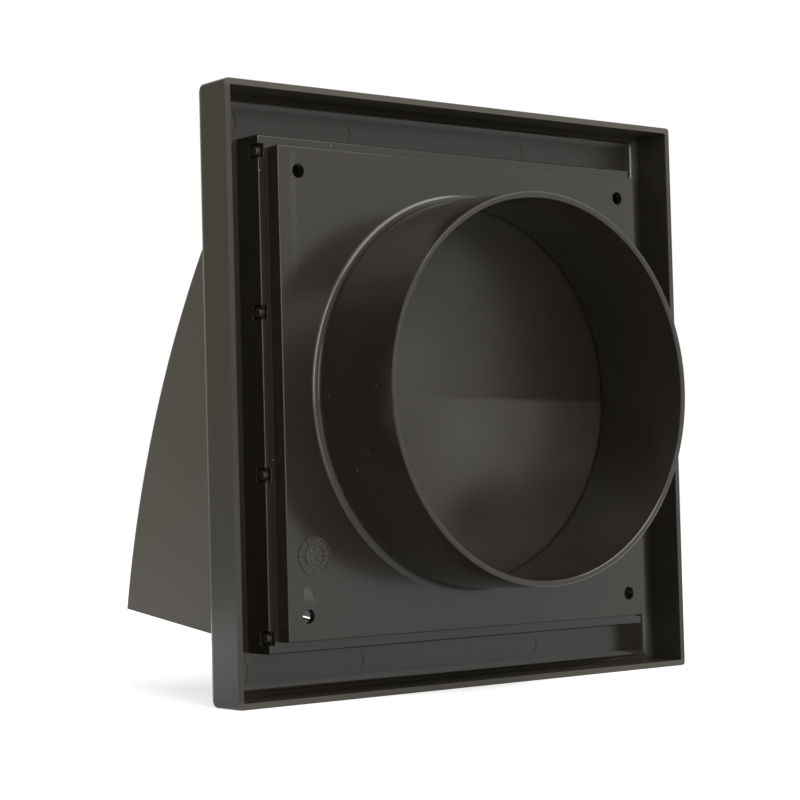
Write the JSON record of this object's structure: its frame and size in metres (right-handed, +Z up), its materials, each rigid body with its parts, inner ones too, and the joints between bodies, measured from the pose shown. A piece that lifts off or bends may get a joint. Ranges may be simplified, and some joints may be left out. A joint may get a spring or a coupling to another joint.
{
  "type": "hooded extractor vent",
  "caption": "Square wall vent with a curved hood open at the bottom, a round duct spigot behind and a hinged backdraught flap inside.",
  "frame": {"origin": "centre of the duct spigot, in the plane of the wall that the vent is fixed to", "axes": "+Z up, +Y along the spigot into the wall, the hood faces -Y"},
  "size_m": [0.188, 0.1242, 0.188],
  "materials": {
    "cover_plastic": "moulded dark brown plastic, satin with a fine grain",
    "plate_plastic": "moulded dark brown plastic, semi-gloss",
    "flap_plastic": "moulded dark brown plastic, semi-gloss"
  },
  "bodies": {
    "vent": {"front_cover": "cover_plastic", "spigot_plate": "plate_plastic"},
    "flap": {"backdraught_flap": "flap_plastic"}
  },
  "joints": [
    {"name": "flap_hinge", "type": "hinge", "parent": "vent", "child": "flap", "pos_m": [0, -0.0042, 0.06855], "axis": [-1, 0, 0], "range_deg": [0, 32]}
  ]
}
